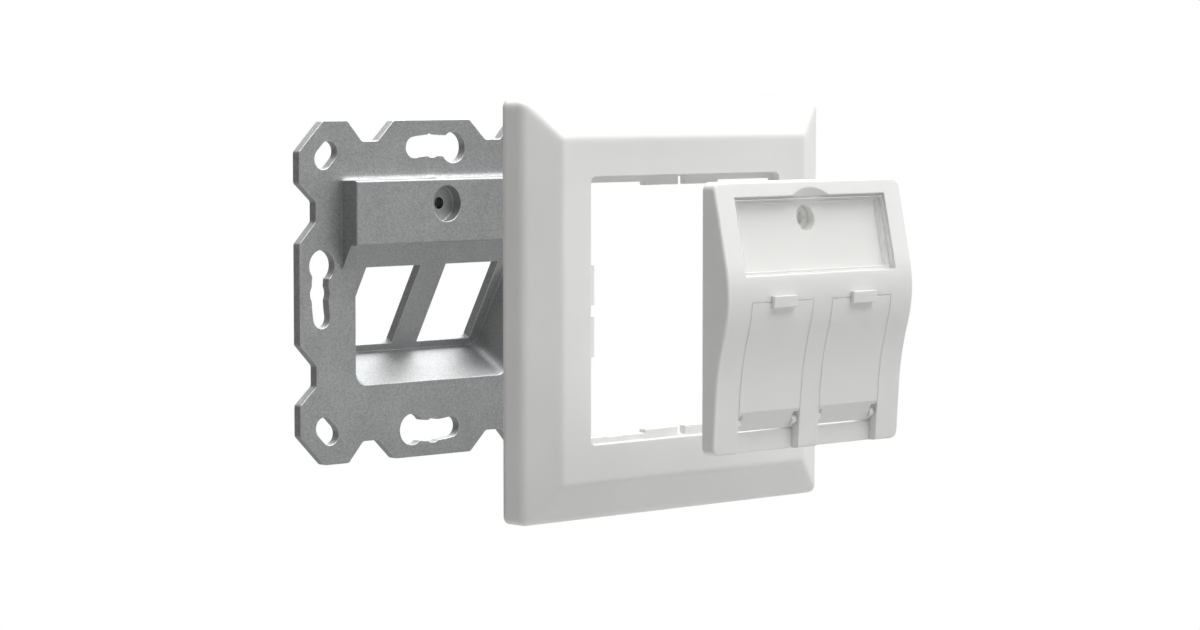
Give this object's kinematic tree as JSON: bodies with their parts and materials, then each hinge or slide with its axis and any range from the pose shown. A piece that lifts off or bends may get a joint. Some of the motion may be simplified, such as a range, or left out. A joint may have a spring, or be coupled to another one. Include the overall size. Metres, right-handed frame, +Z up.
{
  "type": "in-wall keystone data outlet",
  "caption": "In-wall data outlet shown taken apart: cast mounting frame with a sloping keystone pocket, bevelled cover frame, and centre plate with label window and hinged dust flaps.",
  "frame": {"origin": "centre of the mounting frame's screw circle, on the face that lies against the wall", "axes": "+X right as seen from the room, +Y into the wall, +Z up"},
  "size_m": [0.08, 0.1263, 0.08],
  "materials": {
    "cast_zinc": "satin",
    "white_plastic": "gloss",
    "clear_plastic": "clear gloss",
    "plated_steel": "zinc plated"
  },
  "bodies": {
    "wall_body": {"mounting_frame": "cast_zinc"},
    "cover_body": {"cover_frame": "white_plastic"},
    "plate_body": {"centre_plate": "white_plastic", "fixing_screw": "plated_steel"},
    "window_body": {"label_window": "clear_plastic"},
    "flap_left_body": {"shutter_left": "white_plastic"},
    "flap_right_body": {"shutter_right": "white_plastic"}
  },
  "joints": [
    {"name": "cover_slide", "type": "slide", "parent": "wall_body", "child": "cover_body", "axis": [0, 1, 0], "range_m": [0, 0.07]},
    {"name": "plate_slide", "type": "slide", "parent": "cover_body", "child": "plate_body", "axis": [0, 1, 0], "range_m": [0, 0.031]},
    {"name": "window_lift", "type": "slide", "parent": "plate_body", "child": "window_body", "axis": [0, -0.9759, 0.2184], "range_m": [0, 0.012]},
    {"name": "flap_left_hinge", "type": "hinge", "parent": "plate_body", "child": "flap_left_body", "pos_m": [-0.01065, -0.10955, -0.0196], "axis": [1, 0, 0], "range_deg": [0, 85]},
    {"name": "flap_right_hinge", "type": "hinge", "parent": "plate_body", "child": "flap_right_body", "pos_m": [0.01065, -0.10955, -0.0196], "axis": [1, 0, 0], "range_deg": [0, 85]}
  ]
}
